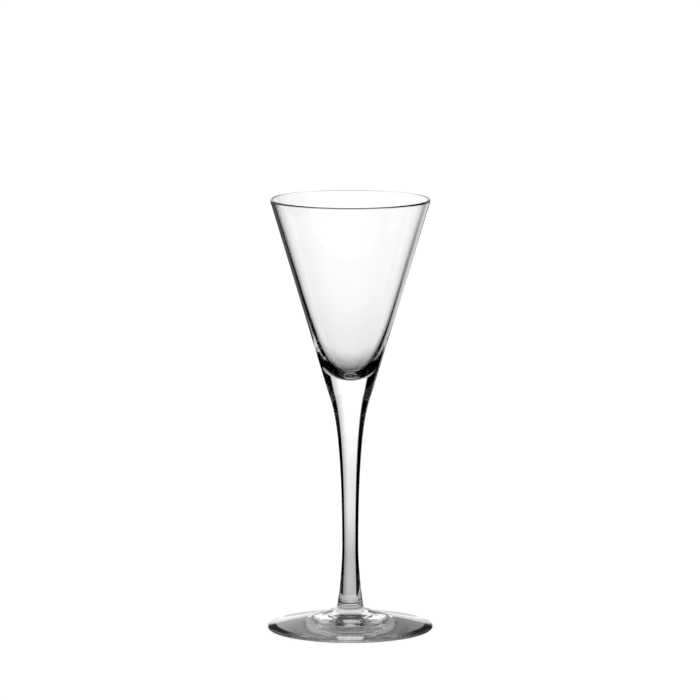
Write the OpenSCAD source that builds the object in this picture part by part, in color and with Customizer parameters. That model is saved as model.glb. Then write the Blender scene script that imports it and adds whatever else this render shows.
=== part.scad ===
// Cordial glass: a conical bowl, a drawn stem and a round foot of clear glass.
// Each is a gather of its own. They are fused hot, end to end, on one axis.
// Millimetres, +Z up, origin on the table under the middle of the foot.

/* [Bowl] */
// Outside diameter of the rim
rim_d = 54.9; // [46:0.1:66]
// Height of the bowl, from its joint with the stem to the rim
bowl_h = 66.5; // [54:0.5:80]
// Diameter of the joint between bowl and stem
bowl_joint_d = 15.4; // [12:0.1:18]
// Wall at the rim, measured level
rim_wall = 1.1; // [0.8:0.05:2]
// Wall where the inside starts to round in, measured level
low_wall = 1.25; // [0.9:0.05:2.4]
// Glass between the floor of the bowl and the joint
floor_t = 4.9; // [3.5:0.1:6.5]
// Height above the floor at which the inside starts to round in
floor_rise = 39; // [30:0.5:44]
// How far the straight inside carries on into the rounding
floor_draw = 25.5; // [16:0.5:28]
// How far out from the axis the bottom of the rounding stays level
floor_spread = 8.2; // [5:0.1:9]

/* [Stem] */
// Length of the stem, from joint to joint
stem_len = 73.9; // [62:0.1:95]
// Diameter of the waist, the narrowest place
waist_d = 5.6; // [4.4:0.1:7.4]
// Height of the waist above the lower end
waist_h = 19.4; // [14:0.1:26]
// How far the taper of the bowl carries on into the stem
taper_run = 3.8; // [1:0.1:8]
// How far the straight sides of the waist carry on upwards
waist_rise = 44.3; // [30:0.1:46]
// How far the straight sides of the waist carry on downwards
waist_fall = 4.5; // [2:0.1:8]
// Diameter of the joint between stem and foot
foot_joint_d = 8.76; // [7.6:0.02:10.4]
// Height over which the lower end spreads towards the foot
spread_h = 4.5; // [2:0.1:7]
// Lean of the sides at the lower end, from upright
spread_angle = 11; // [4:0.5:20]

/* [Foot] */
// Diameter of the foot
foot_d = 56.9; // [48:0.1:68]
// Height of the foot, from the table to its joint with the stem
foot_h = 8.7; // [7.4:0.1:11]
// Height of the hub above the place where its flare meets the slope
hub_h = 3.5; // [2.6:0.1:4.5]
// How far the sides of the hub carry on before the flare
hub_fall = 3; // [1:0.1:3.4]
// Lean of the sides of the hub below the joint, from upright
hub_angle = 6.5; // [0:0.5:15]
// Diameter at which the flare of the hub meets the slope
flare_d = 20.4; // [16:0.1:26]
// Fall of the slope where it meets the flare, from level
flare_angle = 18; // [12:0.5:22]
// How far the flare and the slope run straight where they meet
flare_run = 2.2; // [1:0.1:3]
// Fall of the slope at the edge, from level
edge_angle = 9.5; // [5:0.5:14]
// How far the slope runs straight at the edge
edge_run = 4.5; // [2:0.1:8]
// Thickness of the edge
edge_t = 1; // [0.8:0.05:2]
// How far in from the edge its rounding reaches
edge_round = 0.5; // [0.3:0.05:1.5]
// Width of the flat ring that stands on the table
rest_w = 2; // [1:0.1:6]
// Height of the hollow under the foot
hollow_h = 0.3; // [0.2:0.1:1.5]

/* [Joints] */
// Rounding of the two edges that meet at the joint of stem and foot
seam_round = 0.2; // [0.1:0.05:0.5]

/* [Hidden] */

// Pieces along one curve or arc of an outline
curve_steps = 28;
arc_steps = 12;

glass_colour = [0.87, 0.92, 0.93, 0.5];

// Bowl
rim_r = rim_d / 2;
bowl_joint_r = bowl_joint_d / 2;
taper = (rim_r - bowl_joint_r) / bowl_h;
taper_angle = atan(taper);
lip_r = rim_wall * cos(taper_angle) / 2;
lip_centre = [rim_r - lip_r, bowl_h - lip_r];
lip_inside = lip_centre + lip_r * [-cos(taper_angle), sin(taper_angle)];
round_z = floor_t + floor_rise;
round_start = [bowl_joint_r + taper * round_z - low_wall, round_z];
inside_taper = (lip_inside[0] - round_start[0]) / (lip_inside[1] - round_start[1]);

// Stem
waist_r = waist_d / 2;
foot_joint_r = foot_joint_d / 2;

// Foot
foot_r = foot_d / 2;
slope_end = [foot_r - edge_round, edge_t];
slope_start = [flare_d / 2, foot_h - hub_h];
edge_mid_z = edge_t / 2;
hollow_r = foot_r - edge_round - rest_w;
hollow_arc_r = (hollow_r * hollow_r + hollow_h * hollow_h) / (2 * hollow_h);
hollow_arc_angle = asin(hollow_r / hollow_arc_r);

// Places of the pieces on the axis
stem_z = foot_h;
bowl_z = foot_h + stem_len;

// Point of a cubic curve at t, from a to d, that sets out towards b and comes in from c
function curve_point(a, b, c, d, t) =
    pow(1 - t, 3) * a + 3 * pow(1 - t, 2) * t * b + 3 * (1 - t) * t * t * c + pow(t, 3) * d;

// Cubic curve from a to d
function curve(a, b, c, d) = [for (i = [0 : curve_steps]) curve_point(a, b, c, d, i / curve_steps)];

// Arc of an ellipse with half axes rx and rz, from one angle to another
function arc(centre, rx, rz, from, to) = [
    for (i = [0 : arc_steps])
        let (angle = from + (to - from) * i / arc_steps)
        centre + [rx * cos(angle), rz * sin(angle)]
];

// Outside cone, round lip, straight inside and rounded floor
function bowl_outline() = concat(
    [[0, 0], [bowl_joint_r, 0]],
    arc(lip_centre, lip_r, lip_r, -taper_angle, 180 - taper_angle),
    curve(
        round_start,
        round_start - floor_draw * [inside_taper, 1],
        [floor_spread, floor_t],
        [0, floor_t]
    )
);

// Rounded seam edge, spread, waist and the drawn shoulder under the bowl
function stem_outline() = concat(
    [[0, 0]],
    arc([foot_joint_r - seam_round, seam_round], seam_round, seam_round, -90, 0),
    curve(
        [foot_joint_r, seam_round],
        [foot_joint_r - spread_h * tan(spread_angle), seam_round + spread_h],
        [waist_r, waist_h - waist_fall],
        [waist_r, waist_h]
    ),
    curve(
        [waist_r, waist_h],
        [waist_r, waist_h + waist_rise],
        [bowl_joint_r - taper * taper_run, stem_len - taper_run],
        [bowl_joint_r, stem_len]
    ),
    [[0, stem_len]]
);

// Hub, flare, slope, rounded edge, resting ring and the hollow underneath
function foot_outline() = concat(
    [[0, foot_h]],
    arc([foot_joint_r - seam_round, foot_h - seam_round], seam_round, seam_round, 90, 0),
    curve(
        [foot_joint_r, foot_h - seam_round],
        [foot_joint_r + hub_fall * tan(hub_angle), foot_h - hub_fall],
        slope_start + flare_run * [-1, tan(flare_angle)],
        slope_start
    ),
    curve(
        slope_start,
        slope_start + flare_run * [1, -tan(flare_angle)],
        slope_end + edge_run * [-1, tan(edge_angle)],
        slope_end
    ),
    arc([slope_end[0], edge_mid_z], edge_round, edge_mid_z, 90, -90),
    arc([0, hollow_h - hollow_arc_r], hollow_arc_r, hollow_arc_r, 90 - hollow_arc_angle, 90)
);

module bowl() {
    color(glass_colour)
        translate([0, 0, bowl_z])
        rotate_extrude()
        polygon(bowl_outline());
}

module stem() {
    color(glass_colour)
        translate([0, 0, stem_z])
        rotate_extrude()
        polygon(stem_outline());
}

module foot() {
    color(glass_colour)
        rotate_extrude()
        polygon(foot_outline());
}

bowl();
stem();
foot();
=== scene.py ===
"""Cordial glass in clear glass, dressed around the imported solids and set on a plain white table."""

import math

import bpy
import numpy as np
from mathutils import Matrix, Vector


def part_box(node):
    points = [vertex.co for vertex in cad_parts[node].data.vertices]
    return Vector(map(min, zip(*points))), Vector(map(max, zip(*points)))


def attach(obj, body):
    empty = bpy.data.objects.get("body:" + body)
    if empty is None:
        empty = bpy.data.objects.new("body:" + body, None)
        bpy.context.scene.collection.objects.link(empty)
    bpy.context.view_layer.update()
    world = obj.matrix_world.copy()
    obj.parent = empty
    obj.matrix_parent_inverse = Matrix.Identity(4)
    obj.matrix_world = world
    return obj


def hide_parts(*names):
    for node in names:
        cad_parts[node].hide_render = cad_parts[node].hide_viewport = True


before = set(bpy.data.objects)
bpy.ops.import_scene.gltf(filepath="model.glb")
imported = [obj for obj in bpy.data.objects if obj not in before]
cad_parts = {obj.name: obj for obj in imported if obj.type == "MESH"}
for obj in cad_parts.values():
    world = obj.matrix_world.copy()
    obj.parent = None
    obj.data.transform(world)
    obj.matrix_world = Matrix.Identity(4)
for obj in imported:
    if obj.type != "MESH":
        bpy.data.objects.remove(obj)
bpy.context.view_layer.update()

bl_info = {
    "name": "Cordial glass",
    "version": (1, 0, 0),
    "blender": (4, 5, 0),
    "location": "View3D > Sidebar > Cordial glass",
    "description": "Builds a clear cordial glass from its bowl, stem and foot, with its table and light",
    "category": "Add Mesh",
}

MM = 0.001

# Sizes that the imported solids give
BOWL_LOW, BOWL_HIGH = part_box("bowl")
STEM_LOW, STEM_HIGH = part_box("stem")
FOOT_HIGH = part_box("foot")[1]

# The photograph is square, so one count of pixels does for both sides
IMAGE_PIXELS = 700


class BowlSizes(bpy.types.PropertyGroup):
    """Sizes of the bowl's wall and floor."""

    rim_wall: bpy.props.FloatProperty(
        name="Rim wall", description="Level thickness of the wall at the rim", default=1.1 * MM, unit="LENGTH"
    )
    low_wall: bpy.props.FloatProperty(
        name="Low wall", description="Level thickness of the wall where the inside starts to round in",
        default=1.25 * MM, unit="LENGTH",
    )
    floor: bpy.props.FloatProperty(
        name="Floor", description="Glass between the floor and the joint", default=4.9 * MM, unit="LENGTH"
    )
    floor_rise: bpy.props.FloatProperty(
        name="Floor rise", description="Height above the floor at which the inside starts to round in",
        default=39 * MM, unit="LENGTH",
    )
    floor_draw: bpy.props.FloatProperty(
        name="Floor draw", description="How far the straight inside carries on into the rounding",
        default=25.5 * MM, unit="LENGTH",
    )
    floor_spread: bpy.props.FloatProperty(
        name="Floor spread", description="How far out the bottom of the rounding stays level",
        default=8.2 * MM, unit="LENGTH",
    )


class StemSizes(bpy.types.PropertyGroup):
    """Sizes of the drawn stem."""

    waist: bpy.props.FloatProperty(
        name="Waist", description="Diameter of the narrowest place", default=5.6 * MM, unit="LENGTH"
    )
    waist_height: bpy.props.FloatProperty(
        name="Waist height", description="Height of the waist above the lower end", default=19.4 * MM, unit="LENGTH"
    )
    taper_run: bpy.props.FloatProperty(
        name="Taper run", description="How far the bowl's taper carries on into the stem",
        default=3.8 * MM, unit="LENGTH",
    )
    waist_rise: bpy.props.FloatProperty(
        name="Waist rise", description="How far the waist's straight sides carry on upwards",
        default=44.3 * MM, unit="LENGTH",
    )
    waist_fall: bpy.props.FloatProperty(
        name="Waist fall", description="How far the waist's straight sides carry on downwards",
        default=4.5 * MM, unit="LENGTH",
    )
    joint: bpy.props.FloatProperty(
        name="Foot joint", description="Diameter of the joint between stem and foot",
        default=8.76 * MM, unit="LENGTH",
    )
    spread_height: bpy.props.FloatProperty(
        name="Spread height", description="Height over which the lower end spreads", default=4.5 * MM, unit="LENGTH"
    )
    spread_angle: bpy.props.FloatProperty(
        name="Spread angle", description="Lean of the sides at the lower end, from upright",
        default=math.radians(11), unit="ROTATION",
    )
    seam_round: bpy.props.FloatProperty(
        name="Seam round", description="Rounding of the two edges that meet at the foot joint",
        default=0.2 * MM, unit="LENGTH",
    )


class FootSizes(bpy.types.PropertyGroup):
    """Sizes of the foot."""

    hub: bpy.props.FloatProperty(
        name="Hub", description="Height of the hub above the place where its flare meets the slope",
        default=3.5 * MM, unit="LENGTH",
    )
    hub_fall: bpy.props.FloatProperty(
        name="Hub fall", description="How far the sides of the hub carry on before the flare",
        default=3 * MM, unit="LENGTH",
    )
    hub_angle: bpy.props.FloatProperty(
        name="Hub angle", description="Lean of the hub's sides, from upright", default=math.radians(6.5),
        unit="ROTATION",
    )
    flare: bpy.props.FloatProperty(
        name="Flare", description="Diameter at which the flare meets the slope", default=20.4 * MM, unit="LENGTH"
    )
    flare_angle: bpy.props.FloatProperty(
        name="Flare angle", description="Fall of the slope where it meets the flare", default=math.radians(18),
        unit="ROTATION",
    )
    flare_run: bpy.props.FloatProperty(
        name="Flare run", description="How far flare and slope run straight where they meet",
        default=2.2 * MM, unit="LENGTH",
    )
    edge_angle: bpy.props.FloatProperty(
        name="Edge angle", description="Fall of the slope at the edge", default=math.radians(9.5), unit="ROTATION"
    )
    edge_run: bpy.props.FloatProperty(
        name="Edge run", description="How far the slope runs straight at the edge", default=4.5 * MM, unit="LENGTH"
    )
    edge: bpy.props.FloatProperty(
        name="Edge", description="Thickness of the edge", default=1 * MM, unit="LENGTH"
    )
    edge_round: bpy.props.FloatProperty(
        name="Edge round", description="Reach of the edge's rounding", default=0.5 * MM, unit="LENGTH"
    )
    rest: bpy.props.FloatProperty(
        name="Resting ring", description="Width of the flat ring on the table", default=2 * MM, unit="LENGTH"
    )
    hollow: bpy.props.FloatProperty(
        name="Hollow", description="Height of the hollow underneath", default=0.3 * MM, unit="LENGTH"
    )


class StageLook(bpy.types.PropertyGroup):
    """Camera, table and light."""

    camera_distance: bpy.props.FloatProperty(
        name="Camera distance", description="Level distance from the camera to the glass's axis",
        default=1880 * MM, unit="LENGTH",
    )
    camera_height: bpy.props.FloatProperty(
        name="Camera height", description="Height of the camera above the table", default=368.1 * MM, unit="LENGTH"
    )
    camera_pitch: bpy.props.FloatProperty(
        name="Camera pitch", description="How far the camera looks down", default=math.radians(8.21),
        unit="ROTATION",
    )
    focal_pixels: bpy.props.FloatProperty(
        name="Focal length", description="Focal length of the camera in pixels of the photograph", default=5533
    )
    table_radius: bpy.props.FloatProperty(
        name="Table radius", description="Radius of the table", default=6.0, unit="LENGTH"
    )


class Wire:
    """A node's output that takes part in sums: each operator adds the Math node that it stands for."""

    def __init__(self, tree, socket):
        self.tree = tree
        self.socket = socket

    def maths(self, operation, *terms):
        return self.tree.add("ShaderNodeMath", {"operation": operation}, dict(enumerate(terms)))

    def __add__(self, other):
        return self.maths("ADD", self, other)

    def __radd__(self, other):
        return self.maths("ADD", other, self)

    def __sub__(self, other):
        return self.maths("SUBTRACT", self, other)

    def __rsub__(self, other):
        return self.maths("SUBTRACT", other, self)

    def __mul__(self, other):
        return self.maths("MULTIPLY", self, other)

    def __rmul__(self, other):
        return self.maths("MULTIPLY", other, self)

    def __truediv__(self, other):
        return self.maths("DIVIDE", self, other)

    def __abs__(self):
        return self.maths("ABSOLUTE", self)

    def or_more(self, other):
        """The greater of the value and another one."""
        return self.maths("MAXIMUM", self, other)

    def clamp(self, low=0, high=1000):
        """The value kept between two limits."""
        return self.tree.add("ShaderNodeClamp", None, {"Value": self, "Min": low, "Max": high})

    def ramp(self, start, end):
        """Smooth step from 0 at start to 1 at end."""
        return self.tree.add(
            "ShaderNodeMapRange",
            {"interpolation_type": "SMOOTHSTEP"},
            {"Value": self, "From Min": start, "From Max": end},
        )

    def fall(self, start, end):
        """Smooth step from 1 at start to 0 at end."""
        return 1 - self.ramp(start, end)

    def between(self, rise, drop):
        """1 between two smooth steps, each given by its start and its end, and 0 outside them."""
        return self.ramp(*rise) * self.fall(*drop)

    def reached(self, count):
        """1 where a whole number has reached a count, and 0 where it is less."""
        return self.ramp(count - 0.8, count - 0.2)


class ShaderTree:
    """The node tree of a material or a world. Its nodes come from one method, add, which the others call."""

    def __init__(self, owner):
        owner.use_nodes = True
        self.nodes = owner.node_tree.nodes
        self.links = owner.node_tree.links
        self.nodes.clear()

    def add(self, kind, settings=None, inputs=None, output=0):
        """Adds a node of a kind, sets its settings, then its inputs, and returns one of its outputs, if any."""
        node = self.nodes.new(kind)
        for name, value in (settings or {}).items():
            setattr(node, name, value)
        for key, value in (inputs or {}).items():
            if isinstance(value, Wire):
                self.links.new(value.socket, node.inputs[key])
            else:
                node.inputs[key].default_value = value
        return Wire(self, node.outputs[output]) if node.outputs else None

    def place(self):
        """Place on the piece, in the glass's own frame."""
        return self.add("ShaderNodeTexCoord", output="Object")

    def axes(self, vector):
        """The three parts of a vector."""
        parts = self.add("ShaderNodeSeparateXYZ", None, {0: vector})
        return [Wire(self, output) for output in parts.socket.node.outputs]

    def path(self, output):
        """What is known of the ray that meets the surface, such as how many faces it met."""
        return self.add("ShaderNodeLightPath", output=output)

    def facing(self):
        """0 where the ray meets the surface square on, and 1 where it grazes it."""
        return self.add("ShaderNodeLayerWeight", None, {"Blend": 0.5}, output="Facing")

    def one_wall(self):
        """1 for light that came straight through two faces without a reflection, 0 for all other light."""
        few = 1 - self.path("Ray Depth").reached(3)
        return self.path("Is Transmission Ray") * few * (1 - self.path("Glossy Depth").reached(1))

    def glow(self, strength):
        """White light of a strength."""
        return self.add("ShaderNodeEmission", None, {"Strength": strength})

    def mix(self, factor, first, second):
        """The first shader where the factor is 0, the second where it is 1."""
        return self.add("ShaderNodeMixShader", None, {0: factor, 1: first, 2: second})

    def close(self, shader, kind="ShaderNodeOutputMaterial"):
        """Ends the tree with the node that shows a shader."""
        self.add(kind, None, {"Surface": shader})

    def close_screen(self, factor, light):
        """Ends a screen's tree: its light shows where the factor is 1, and it is clear elsewhere."""
        self.close(self.mix(factor, self.add("ShaderNodeBsdfTransparent"), light))


# Outlines and surfaces

SECTORS = 360
STAGE_SECTORS = 96
SEAM_STEPS = 12
REST_STEPS = 12
EDGE_STEPS = 32
SLOPE_STEPS = 90
SAME_POINT = 1e-7


def curve(a, b, c, d, steps=120):
    """Cubic curve from a to d: the four points weighted by the terms of (1 - t + t) cubed, t from 0 to 1."""
    t = np.linspace(0, 1, steps)[:, None]
    return (1 - t) ** 3 * np.array(a) + 3 * (1 - t) ** 2 * t * np.array(b) \
        + 3 * (1 - t) * t**2 * np.array(c) + t**3 * np.array(d)


def arc(centre, across, up, start, end, steps=40):
    """Arc of an ellipse: the centre plus its half axes times cosine and sine of an angle in degrees."""
    angle = np.radians(np.linspace(start, end, steps))
    return np.array(centre) + np.stack([across * np.cos(angle), up * np.sin(angle)], axis=1)


def line(a, b, steps=60):
    """Straight stretch from a to b in even steps."""
    t = np.linspace(0, 1, steps)[:, None]
    return (1 - t) * np.array(a) + t * np.array(b)


def join(*stretches):
    """One outline from stretches that follow each other, with points that repeat left out."""
    points = np.vstack(stretches)
    step = np.linalg.norm(np.diff(points, axis=0), axis=1)
    return points[np.concatenate([[True], step > SAME_POINT])]


def neighbours(sectors):
    """Numbers of the points of one ring, and of the next point round it."""
    here = np.arange(sectors)
    return here, (here + 1) % sectors


def spin(outline, sectors):
    """Rings of points (r cos u, r sin u, z), with (r, z) along an outline and u once round, and their faces."""
    turn = np.linspace(0, 2 * np.pi, sectors, endpoint=False)
    radius, height = outline[:, :1], outline[:, 1:]
    points = np.stack([radius * np.cos(turn), radius * np.sin(turn), height + 0 * turn], axis=2)
    here, ahead = neighbours(sectors)
    rows = np.arange(len(outline) - 1)[:, None] * sectors
    faces = np.stack([rows + here, rows + ahead, rows + sectors + ahead, rows + sectors + here], axis=2)
    return points.reshape(-1, 3), faces.reshape(-1, 4).tolist()


def put(name, points, faces):
    """New object in the scene, with smooth faces."""
    mesh = bpy.data.meshes.new(name)
    mesh.from_pydata(points.tolist(), [], faces)
    mesh.polygons.foreach_set("use_smooth", np.ones(len(faces), dtype=bool))
    made = bpy.data.objects.new(name, mesh)
    bpy.context.scene.collection.objects.link(made)
    return made


def revolve(name, outline):
    """Closed surface of revolution.

    A point of the surface is (r cos u, r sin u, z), where (r, z) runs along the outline from axis to axis with
    the glass on its left, and u runs once round the axis. The outline's two ends are single points.
    """
    points, quads = spin(outline[1:-1], SECTORS)
    ends = np.array([[0, 0, outline[0, 1]], [0, 0, outline[-1, 1]]])
    here, ahead = neighbours(SECTORS)
    count = len(points)
    last = count - SECTORS
    first_cap = np.stack([np.full(SECTORS, count), ahead, here], axis=1)
    last_cap = np.stack([last + here, last + ahead, np.full(SECTORS, count + 1)], axis=1)
    return put(name, np.vstack([points, ends]), quads + first_cap.tolist() + last_cap.tolist())


def mark_seams(piece, first=False, last=False):
    """Gives the flat discs at the ends of a piece the fused finish, slot 1, and a sharp edge round them."""
    mesh = piece.data
    count = len(mesh.polygons)
    finish = np.zeros(count, dtype=np.int32)
    rings = (len(mesh.vertices) - 2) // SECTORS
    edges = np.zeros(len(mesh.edges) * 2, dtype=np.int32)
    mesh.edges.foreach_get("vertices", edges)
    ring_of = edges.reshape(-1, 2) // SECTORS
    sharp = np.zeros(len(mesh.edges), dtype=bool)
    if first:
        finish[count - 2 * SECTORS:count - SECTORS] = 1
        sharp |= (ring_of == 0).all(axis=1)
    if last:
        finish[count - SECTORS:] = 1
        sharp |= (ring_of == rings - 1).all(axis=1)
    mesh.polygons.foreach_set("material_index", finish)
    mesh.edges.foreach_set("use_edge_sharp", sharp)
    mesh.update()


# Finishes

GLASS_IOR = 1.52
BOWL_TINT = (1, 1, 1)
STEM_TINT = (0.885, 0.885, 0.885)
FOOT_TINT = (0.9, 0.905, 0.91)

# Cords: fine streaks that the drawing of the glass leaves in it
CORD_SCALE = 240
CORD_DRAW = (1, 1, 0.12)
CORD_RELIEF = 0.001 * MM
CORD_SHADE = 0.02

# Tool marks: rings round the hub, their depth in depths of the cords, and the radii where they start and end
MARK_DEPTH = 42
MARK_SCALE = 110
MARK_WOBBLE = 0.4
MARK_START = (6.5 * MM, 9 * MM)
MARK_END = (11.5 * MM, 16.5 * MM)

# Painted shade on the foot's edge, a near-black band: radius where it starts, half the width of the change, height,
# colour, its most and its least share, and the slants at which it comes to show and no longer shows
EDGE_SHADE_FROM = 25.6 * MM
EDGE_SHADE_CHANGE = 0.3 * MM
EDGE_SHADE_HEIGHT = (0.05 * MM, 0.15 * MM)
EDGE_SHADE_COLOUR = (0.012, 0.012, 0.012, 1)
EDGE_SHADE_MOST, EDGE_SHADE_LEAST = 0.96, 0.12
EDGE_SHADE_SHOWN, EDGE_SHADE_HIDDEN = (0.66, 0.715), (0.795, 0.83)


def clear_glass(name, tint, tool_marks=0, shade_from_radius=None):
    """Clear glass, almost free of colour, with faint cords drawn upwards in it.

    Tool marks are rings round the hub, so many times as deep as the cords. From a radius outwards the edge gets
    painted shade, a near-black band that shows only at a slant.
    """
    material = bpy.data.materials.new(name)
    tree = ShaderTree(material)
    place = tree.place()
    drawn = tree.add("ShaderNodeMapping", None, {"Vector": place, "Scale": CORD_DRAW})
    cords = tree.add("ShaderNodeTexNoise", None, {"Vector": drawn, "Scale": CORD_SCALE, "Detail": 2})
    relief = cords
    if tool_marks or shade_from_radius:
        x, y, z = tree.axes(place)
        square = x * x + y * y
        radius = square.maths("SQRT", square)
    if tool_marks:
        rings = tree.add(
            "ShaderNodeTexWave",
            {"wave_type": "RINGS", "rings_direction": "Z"},
            {"Vector": place, "Scale": MARK_SCALE, "Distortion": MARK_WOBBLE, "Detail": 0},
            output="Fac",
        )
        relief = cords + tool_marks * rings * radius.between(MARK_START, MARK_END)
    depth = 1 - CORD_SHADE * cords
    colour = tree.add("ShaderNodeCombineColor", None, {i: share * depth for i, share in enumerate(tint)})
    normal = tree.add("ShaderNodeBump", None, {"Strength": 1.0, "Distance": CORD_RELIEF, "Height": relief})
    glass = tree.add(
        "ShaderNodeBsdfPrincipled",
        None,
        {"Base Color": colour, "Roughness": 0.0, "IOR": GLASS_IOR, "Transmission Weight": 1.0, "Normal": normal},
    )
    # Painted shade: a near-black band on the foot's edge, from a radius outwards, that shows only at a slant
    if shade_from_radius:
        edge_shade_mask = radius.ramp(shade_from_radius - EDGE_SHADE_CHANGE, shade_from_radius + EDGE_SHADE_CHANGE) * z.ramp(*EDGE_SHADE_HEIGHT)
        grazing = tree.facing()
        slant = grazing.fall(*EDGE_SHADE_HIDDEN) * (EDGE_SHADE_LEAST + (1 - EDGE_SHADE_LEAST) * grazing.ramp(*EDGE_SHADE_SHOWN))
        painted_edge_bsdf = tree.add("ShaderNodeBsdfDiffuse", None, {"Color": EDGE_SHADE_COLOUR})
        glass = tree.mix(EDGE_SHADE_MOST * edge_shade_mask * slant, glass, painted_edge_bsdf)
    tree.close(glass)
    return material


def fused_glass():
    """The face where two pieces are fused: light passes it as if it weren't there."""
    material = bpy.data.materials.new("fused_joint")
    tree = ShaderTree(material)
    tree.close(tree.add("ShaderNodeBsdfPrincipled", None, {"Alpha": 0.0}))
    return material


def dress(piece, node, *materials):
    """Puts the finishes on a piece, and lets it stand for its solid on the one rigid body."""
    for material in materials:
        piece.data.materials.append(material)
    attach(piece, "root")
    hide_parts(node)


# The bowl's straight outside, which the stem's shoulder takes up
JOINT = np.array([STEM_HIGH.x, BOWL_LOW.z])
RIM = np.array([BOWL_HIGH.x, BOWL_HIGH.z])
TAPER = (RIM[0] - JOINT[0]) / (RIM[1] - JOINT[1])


class CORDIAL_OT_bowl(bpy.types.Operator):
    """Make the conical bowl"""

    bl_idname = "cordial.bowl"
    bl_label = "Bowl"

    def execute(self, context):
        size = context.scene.cordial_bowl
        joint, low = JOINT
        lean = math.atan(TAPER)
        lip = size.rim_wall * math.cos(lean) / 2
        lip_arc = arc(RIM - lip, lip, lip, -math.degrees(lean), 180 - math.degrees(lean))
        floor = low + size.floor
        start_z = floor + size.floor_rise
        start = np.array([joint + TAPER * (start_z - low) - size.low_wall, start_z])
        inner = (lip_arc[-1] - start) / (lip_arc[-1, 1] - start_z)
        outline = join(
            [[0, low]],
            line(JOINT, lip_arc[0]),
            lip_arc,
            line(lip_arc[-1], start),
            curve(start, start - size.floor_draw * inner, [size.floor_spread, floor], [0, floor]),
        )
        piece = revolve("bowl_glass", outline)
        dress(piece, "bowl", clear_glass("bowl_glass", BOWL_TINT), fused_glass())
        mark_seams(piece, first=True)
        return {"FINISHED"}


def stem_shoulder(size):
    """Outline of the stem from its waist up to the bowl, where it takes up the bowl's taper."""
    top, high = STEM_HIGH.x, STEM_HIGH.z
    waist, waist_z = size.waist / 2, STEM_LOW.z + size.waist_height
    return curve(
        [waist, waist_z],
        [waist, waist_z + size.waist_rise],
        [top - TAPER * size.taper_run, high - size.taper_run],
        [top, high],
    )


class CORDIAL_OT_stem(bpy.types.Operator):
    """Make the drawn stem"""

    bl_idname = "cordial.stem"
    bl_label = "Stem"

    def execute(self, context):
        size = context.scene.cordial_stem
        low, high = STEM_LOW.z, STEM_HIGH.z
        waist, waist_z = size.waist / 2, low + size.waist_height
        end, seam = size.joint / 2, size.seam_round
        outline = join(
            [[0, low]],
            arc([end - seam, low + seam], seam, seam, -90, 0, SEAM_STEPS),
            curve(
                [end, low + seam],
                [end - size.spread_height * math.tan(size.spread_angle), low + seam + size.spread_height],
                [waist, waist_z - size.waist_fall],
                [waist, waist_z],
            ),
            stem_shoulder(size),
            [[0, high]],
        )
        piece = revolve("stem_glass", outline)
        dress(piece, "stem", clear_glass("stem_glass", STEM_TINT), fused_glass())
        mark_seams(piece, first=True, last=True)
        return {"FINISHED"}


class CORDIAL_OT_foot(bpy.types.Operator):
    """Make the round foot"""

    bl_idname = "cordial.foot"
    bl_label = "Foot"

    def execute(self, context):
        size = context.scene.cordial_foot
        seam = context.scene.cordial_stem.seam_round
        end = context.scene.cordial_stem.joint / 2
        edge_r, top = FOOT_HIGH.x, FOOT_HIGH.z
        slope_start = np.array([size.flare / 2, top - size.hub])
        slope_end = np.array([edge_r - size.edge_round, size.edge])
        falling = size.flare_run * np.array([1, -math.tan(size.flare_angle)])
        rising = size.edge_run * np.array([-1, math.tan(size.edge_angle)])
        rest = slope_end[0]
        hollow = rest - size.rest
        cap = (hollow**2 + size.hollow**2) / (2 * size.hollow)
        reach = math.degrees(math.asin(hollow / cap))
        outline = join(
            arc([0, size.hollow - cap], cap, cap, 90, 90 - reach),
            line([hollow, 0], [rest, 0], REST_STEPS),
            arc([rest, size.edge / 2], size.edge_round, size.edge / 2, -90, 90, EDGE_STEPS),
            curve(slope_end, slope_end + rising, slope_start + falling, slope_start, SLOPE_STEPS),
            curve(
                slope_start,
                slope_start - falling,
                [end + size.hub_fall * math.tan(size.hub_angle), top - size.hub_fall],
                [end, top - seam],
                SLOPE_STEPS,
            ),
            arc([end - seam, top - seam], seam, seam, 0, 90, SEAM_STEPS),
            [[0, top]],
        )
        outline[0, 0] = 0
        piece = revolve("foot_glass", outline)
        # The foot's edge gets the band of painted shade
        dress(piece, "foot", clear_glass("foot_glass", FOOT_TINT, MARK_DEPTH, EDGE_SHADE_FROM), fused_glass())
        mark_seams(piece, last=True)
        return {"FINISHED"}


# Stage

DEGREES = 180 / math.pi

# Faces of the glass that a ray is followed through
FACES_FOLLOWED = 24

# White backdrop: elevation below which it narrows, and over how many degrees by one share on each side, then
# the lowest elevation that it lights, and how far up from there it has its full light
NARROW_BELOW, NARROW_OVER = -15, 15
NARROW_LEFT, NARROW_RIGHT = 0.48, 0.25
BACKDROP_LOW, BACKDROP_RISE = -67, 51
BACKDROP_LIGHT = 1.3

# Edges of the backdrop and of the panels in degrees, each as the start and the end of a smooth step
BACKDROP_LEFT, BACKDROP_RIGHT = (-31, -25), (33.5, 38)
BACKDROP_FADE, FADE_DEPTH = (6, 38), 0.48
WIDE_LEFT, WIDE_RIGHT = (-72, -62), (62, 72)
FRONT_LEFT, FRONT_RIGHT = (-140, -115), (140, 165)
LEFT_CARD = (-104, -96), (-46, -38)
RIGHT_CARD = (38, 46), (80, 88)
CARDS_UP = (-12, -2), (15, 19)

# Light of the panels, as a share of the backdrop's
GUIDED_LIGHT, FRONT_LIGHT, LEFT_CARD_LIGHT, RIGHT_CARD_LIGHT = 0.08, 0.6, 0.8, 0.35

# Backdrops on the other sides: azimuth of the middle, half the width, and highest elevation
OTHER_SIDES = ((-45, 28, -20.8), (-90, 17, 90), (135, 28, 90))
OTHER_SIDES_SOFT, OTHER_SIDES_MIRRORED = 3, 0.75

# Light of the sky above the backdrops, and what the ceiling adds
SKY_LIGHT, CEILING_LIGHT = 0.07, 0.42

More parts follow.
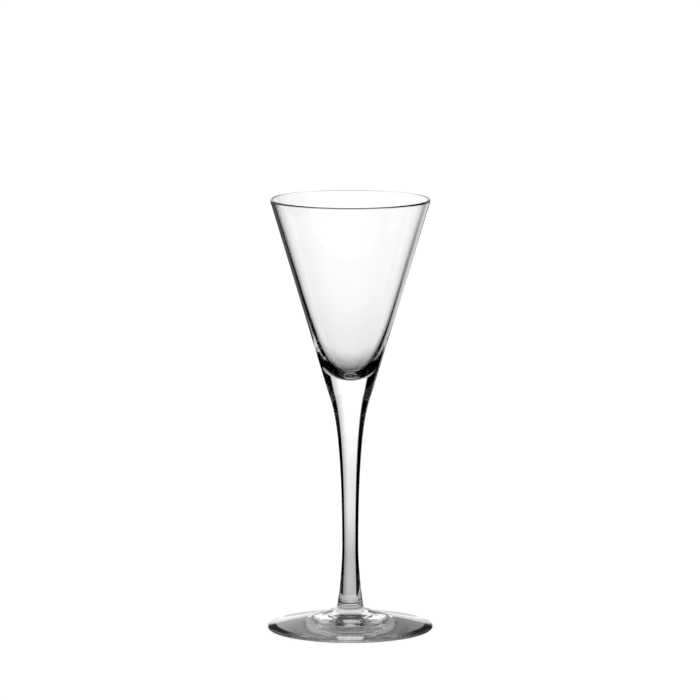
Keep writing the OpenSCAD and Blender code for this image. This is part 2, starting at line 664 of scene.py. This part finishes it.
# Table: how far it lies below the foot, its own light and colour to the camera, and the share of the studio's
# light that passes it to the glass, in the middle and by steps outwards: change, start and end of each step
TABLE_SINK = 0.05 * MM
TABLE_LIGHT, TABLE_COLOUR = 0.75, (0.28, 0.28, 0.28, 1)
TABLE_MIDDLE = 0.8
TABLE_STEPS = ((-0.33, 0.029, 0.035), (0.29, 0.1, 0.3), (0.14, 0.3, 1.0), (0.1, 1.0, 5.0))

# The table as the glass shows it, by distance from the axis: the hub, the foot's edge, the painted shadow under the
# stem that shows as its dark image, and the reach of guided light, then the light under the foot and how far it
# dims, and of guided light near and far
HUB_REACH, FOOT_REACH = (11.7 * MM, 12.5 * MM), (27.5 * MM, 28.5 * MM)
STEM_SHADOW_REACH, GUIDED_REACH = (9.5 * MM, 11.5 * MM), (45 * MM, 60 * MM)
UNDER_LIGHT, UNDER_DIM = 0.85, 0.9
TABLE_NEAR, TABLE_FAR = 0.58, 0.12

# Numbers of faces over which guided light changes from near to far
GUIDED_FAR = (6.8, 9.2)

# Screens: radius and height of the card and the collar, the gap between a close screen and the glass, how far
# the sleeve goes up the bowl, the azimuth of its middle, and the share of the bowl below the veil
CARD_RADIUS, CARD_HEIGHT = 150 * MM, 55 * MM
COLLAR_RADIUS, COLLAR_HEIGHT = 35 * MM, 9 * MM
SCREEN_GAP = 0.4 * MM
SLEEVE_RISE, SLEEVE_AZIMUTH = 7 * MM, -45
VEIL_START, VEIL_STEPS = 0.16, 12
COLLAR_LIGHT, SLEEVE_LIGHT, VEIL_LIGHT = 0.36, 0.95, 1.06

# The card's light: at its front, at its back, what two level bands add there, and far along on the left and right
CARD_FRONT, CARD_BACK, CARD_BANDS = 0.7, 0.2, 0.4
CARD_FAR_LEFT, CARD_FAR_RIGHT = 0.11, 0.1

# How far the camera stands to the right of the glass's axis
CAMERA_ASIDE = -0.1 * MM


def studio_level(azimuth, elevation, clear, straight, turned, bent, guided, mirrored):
    """Light that comes from each direction, with azimuth from straight behind the glass to the right.

    A white backdrop stands behind the glass, fades to the right and narrows towards the table. Rays are told
    apart by how many faces of the glass they met: straight ones pass two or four, turned ones three, bent ones
    five and guided ones more. Mirrored rays come off the outside, and clear ones were never reflected. All
    directions are in degrees.
    """
    below = (NARROW_BELOW - elevation).clamp() / NARROW_OVER
    left_side = azimuth * (1 + NARROW_LEFT * below)
    right_side = azimuth * (1 + NARROW_RIGHT * below)
    fade = 1 - FADE_DEPTH * right_side.ramp(*BACKDROP_FADE)
    window = left_side.ramp(*BACKDROP_LEFT) * right_side.fall(*BACKDROP_RIGHT) * fade
    window = window * ((elevation - BACKDROP_LOW) / BACKDROP_RISE).clamp(0, 1)
    # What mirrored rays see of the backdrop
    low_right = azimuth.ramp(2, 8) * elevation.fall(-12, -10)
    edge = low_right.or_more(elevation.ramp(-6, -1)).or_more(abs(azimuth).fall(3.5, 5.5))
    edge = edge * (1 - elevation.ramp(0, 6) * (0.24 + 0.3 * azimuth.ramp(-1, 4)))
    # What turned rays see of it
    low_left = azimuth.ramp(-32, -10) * (1 - 0.7 * elevation.ramp(-21, -15))
    inner = low_left.or_more(azimuth.ramp(-2, 8)).or_more(elevation.ramp(-10, -4))
    level = window * (straight + turned * inner + GUIDED_LIGHT * guided + mirrored * edge)
    # A wide panel for bent rays, the front of the room, and cards at both sides for guided rays
    wide = azimuth.between(WIDE_LEFT, WIDE_RIGHT) * elevation.ramp(-4, 0) * bent
    wide = wide * (0.85 + 0.15 * abs(azimuth).ramp(28, 36))
    front = azimuth.ramp(*FRONT_RIGHT) + azimuth.fall(*FRONT_LEFT)
    front = FRONT_LIGHT * front * (straight + mirrored)
    cards = LEFT_CARD_LIGHT * azimuth.between(*LEFT_CARD) + RIGHT_CARD_LIGHT * azimuth.between(*RIGHT_CARD)
    cards = cards * guided * elevation.between(*CARDS_UP)
    for panel in (wide, front, cards):
        level = level.or_more(panel)
    for centre, half, high in OTHER_SIDES:
        panel = abs(azimuth - centre).fall(half - OTHER_SIDES_SOFT, half + OTHER_SIDES_SOFT)
        lit = clear * elevation.fall(high - 0.7, high)
        level = level.or_more(panel * (lit + OTHER_SIDES_MIRRORED * mirrored * elevation.ramp(1, 4)))
    dark_sky = turned * elevation.ramp(14.5, 18.5) + (1 - turned) * elevation.ramp(32, 38)
    return level * (1 - dark_sky) + SKY_LIGHT * dark_sky + CEILING_LIGHT * elevation.ramp(50, 56)


class CORDIAL_OT_stage(bpy.types.Operator):
    """Make the table, the light and the camera"""

    bl_idname = "cordial.stage"
    bl_label = "Stage"

    def execute(self, context):
        scene = context.scene
        look = scene.cordial_stage
        self.table(look)
        self.card()
        self.collar()
        self.sleeve(scene.cordial_stem)
        self.veil()
        self.surroundings(scene)
        self.camera(scene, look)
        scene.view_settings.view_transform = "Standard"
        scene.cycles.max_bounces = FACES_FOLLOWED
        scene.cycles.glossy_bounces = FACES_FOLLOWED
        scene.cycles.transmission_bounces = FACES_FOLLOWED
        scene.cycles.transparent_max_bounces = 2 * FACES_FOLLOWED
        return {"FINISHED"}

    def table(self, look):
        """Round table, white with a soft shadow to the camera.

        To light through the glass it lets the studio shine through, is pale under the foot, and is grey near the
        foot for guided light.
        """
        turn = np.linspace(0, 2 * np.pi, STAGE_SECTORS, endpoint=False)
        flat = look.table_radius * np.stack([np.cos(turn), np.sin(turn)], axis=1)
        rim = np.column_stack([flat, np.full(STAGE_SECTORS, -TABLE_SINK)])
        table = put("table", rim, [list(range(STAGE_SECTORS))])
        material = bpy.data.materials.new("white_table")
        table.data.materials.append(material)
        tree = ShaderTree(material)
        far = tree.add("ShaderNodeVectorMath", {"operation": "LENGTH"}, {0: tree.place()}, output="Value")
        met = tree.path("Ray Depth")
        black = tree.glow(0)
        seen = TABLE_MIDDLE
        for change, start, end in TABLE_STEPS:
            seen = seen + change * far.ramp(start, end)
        around = tree.mix(seen, black, tree.add("ShaderNodeBsdfTransparent"))
        hub = far.fall(*HUB_REACH)
        dim = UNDER_DIM * (hub * met.reached(3) + (1 - hub) * met.reached(5))
        under = tree.mix(dim, tree.glow(UNDER_LIGHT), black)
        shine = tree.mix(far.ramp(*FOOT_REACH), under, around)
        grey = tree.mix(met.ramp(*GUIDED_FAR), tree.glow(TABLE_NEAR), tree.glow(TABLE_FAR))
        # Painted shadow under the stem and the foot's middle: guided light sees black near the axis
        grey = tree.mix(far.ramp(*STEM_SHADOW_REACH), black, grey)
        shine = tree.mix(met.reached(6) * far.fall(*GUIDED_REACH), shine, grey)
        lit = tree.add("ShaderNodeBsdfDiffuse", None, {"Color": TABLE_COLOUR})
        shown = tree.add("ShaderNodeAddShader", None, {0: tree.glow(TABLE_LIGHT), 1: lit})
        tree.close(tree.mix(tree.path("Is Camera Ray"), shine, shown))

    def screen(self, name, outline):
        """Open screen round the glass, spun from an outline. Returns the tree of its material."""
        screen = put(name, *spin(outline, STAGE_SECTORS))
        material = bpy.data.materials.new(name)
        screen.data.materials.append(material)
        return ShaderTree(material)

    def card(self):
        """Low grey card round the foot that only light guided far through the glass meets."""
        tree = self.screen("card", np.array([[CARD_RADIUS, 0], [CARD_RADIUS, CARD_HEIGHT]]))
        x, y, z = tree.axes(tree.place())
        met = tree.path("Ray Depth")
        middle = abs(x).fall(90 * MM, 115 * MM)
        bands = z.fall(12 * MM, 18 * MM) + z.ramp(38 * MM, 42 * MM)
        front = CARD_FRONT * y.fall(-80 * MM, -40 * MM)
        strength = front.or_more(CARD_BACK + CARD_BANDS * bands * middle)
        near = tree.mix(strength, tree.glow(0), tree.glow(1))
        far = tree.mix(x.ramp(-20 * MM, 20 * MM), tree.glow(CARD_FAR_LEFT), tree.glow(CARD_FAR_RIGHT))
        grey = tree.mix(met.ramp(*GUIDED_FAR), near, far)
        tree.close_screen(tree.path("Is Transmission Ray") * met.reached(6), grey)

    def collar(self):
        """Low grey collar behind the foot that only light bent by five faces meets."""
        tree = self.screen("collar", np.array([[COLLAR_RADIUS, 0], [COLLAR_RADIUS, COLLAR_HEIGHT]]))
        x, _, _ = tree.axes(tree.place())
        met = tree.path("Ray Depth")
        bent = tree.path("Is Transmission Ray") * met.reached(5) * (1 - met.reached(6))
        tree.close_screen(bent * abs(x).fall(17 * MM, 21 * MM), tree.glow(COLLAR_LIGHT))

    def sleeve(self, size):
        """Bright sleeve close round the upper stem that only light passing it to the left at the back meets."""
        shoulder = stem_shoulder(size)
        lean = shoulder[-1] - shoulder[-2]
        bowl_end = shoulder[-1] + lean * (SLEEVE_RISE / lean[1])
        tree = self.screen("sleeve", np.vstack([shoulder, bowl_end]) + [SCREEN_GAP, 0])
        x, y, z = tree.axes(tree.place())
        offset = x.maths("ARCTAN2", x, y) * DEGREES - SLEEVE_AZIMUTH
        left = abs(offset).fall(16, 22) * z.ramp(36 * MM, 52 * MM)
        tree.close_screen(tree.one_wall() * left * tree.facing().fall(0.24, 0.32), tree.glow(SLEEVE_LIGHT))

    def veil(self):
        """Pale veil close round the bowl that only light leaving one wall at a slant meets."""
        start = JOINT + VEIL_START * (RIM - JOINT)
        tree = self.screen("veil", line(start, RIM, VEIL_STEPS) + [SCREEN_GAP, 0])
        slant = tree.facing().between((0.12, 0.2), (0.58, 0.7))
        tree.close_screen(tree.one_wall() * slant, tree.glow(VEIL_LIGHT))

    def surroundings(self, scene):
        """Studio that light through or off the glass meets. The table and the camera meet plain white."""
        world = bpy.data.worlds.new("studio")
        scene.world = world
        world.cycles.sampling_method = "NONE"
        tree = ShaderTree(world)
        x, y, z = tree.axes(tree.add("ShaderNodeTexCoord", output="Generated"))
        azimuth = x.maths("ARCTAN2", x, y) * DEGREES
        elevation = z.maths("ARCSINE", z) * DEGREES
        passing = tree.path("Is Transmission Ray")
        # Out here the count is one more than the faces that the ray met
        met = tree.path("Ray Depth")
        guided = passing * met.reached(7)
        bent = passing * met.reached(6) - guided
        turned = passing * met.reached(4) * (1 - met.reached(5))
        straight = passing - turned - bent - guided
        clear = passing * (1 - tree.path("Glossy Depth").reached(1))
        through = tree.path("Is Glossy Ray").or_more(passing)
        level = studio_level(azimuth, elevation, clear, straight, turned, bent, guided, through - passing)
        dark, plain, bright = (
            tree.add("ShaderNodeBackground", None, {"Color": (1, 1, 1, 1), "Strength": strength})
            for strength in (0, 1, BACKDROP_LIGHT)
        )
        studio = tree.mix(level, dark, bright)
        tree.close(tree.mix(through, plain, studio), "ShaderNodeOutputWorld")

    def camera(self, scene, look):
        """Camera of the photograph, level from left to right."""
        data = bpy.data.cameras.new("camera")
        data.lens = look.focal_pixels / IMAGE_PIXELS * data.sensor_width
        data.clip_start, data.clip_end = 0.01, 50
        camera = bpy.data.objects.new("camera", data)
        scene.collection.objects.link(camera)
        camera.location = (CAMERA_ASIDE, -look.camera_distance, look.camera_height)
        camera.rotation_euler = (math.pi / 2 - look.camera_pitch, 0, 0)
        scene.camera = camera


class CORDIAL_PT_panel(bpy.types.Panel):
    """Lists the makers of the pieces and of the stage"""

    bl_idname = "CORDIAL_PT_panel"
    bl_label = "Cordial glass"
    bl_space_type = "VIEW_3D"
    bl_region_type = "UI"
    bl_category = "Cordial glass"

    def draw(self, context):
        for operator in OPERATORS:
            self.layout.operator(operator.bl_idname)


GROUPS = {
    "cordial_bowl": BowlSizes,
    "cordial_stem": StemSizes,
    "cordial_foot": FootSizes,
    "cordial_stage": StageLook,
}
OPERATORS = (CORDIAL_OT_bowl, CORDIAL_OT_stem, CORDIAL_OT_foot, CORDIAL_OT_stage)
CLASSES = (*GROUPS.values(), *OPERATORS, CORDIAL_PT_panel)


def register():
    for made in CLASSES:
        bpy.utils.register_class(made)
    for name, group in GROUPS.items():
        setattr(bpy.types.Scene, name, bpy.props.PointerProperty(type=group))


def unregister():
    for name in GROUPS:
        delattr(bpy.types.Scene, name)
    for made in reversed(CLASSES):
        bpy.utils.unregister_class(made)


def main():
    register()
    bpy.ops.cordial.bowl()
    bpy.ops.cordial.stem()
    bpy.ops.cordial.foot()
    bpy.ops.cordial.stage()


if __name__ == "__main__":
    main()
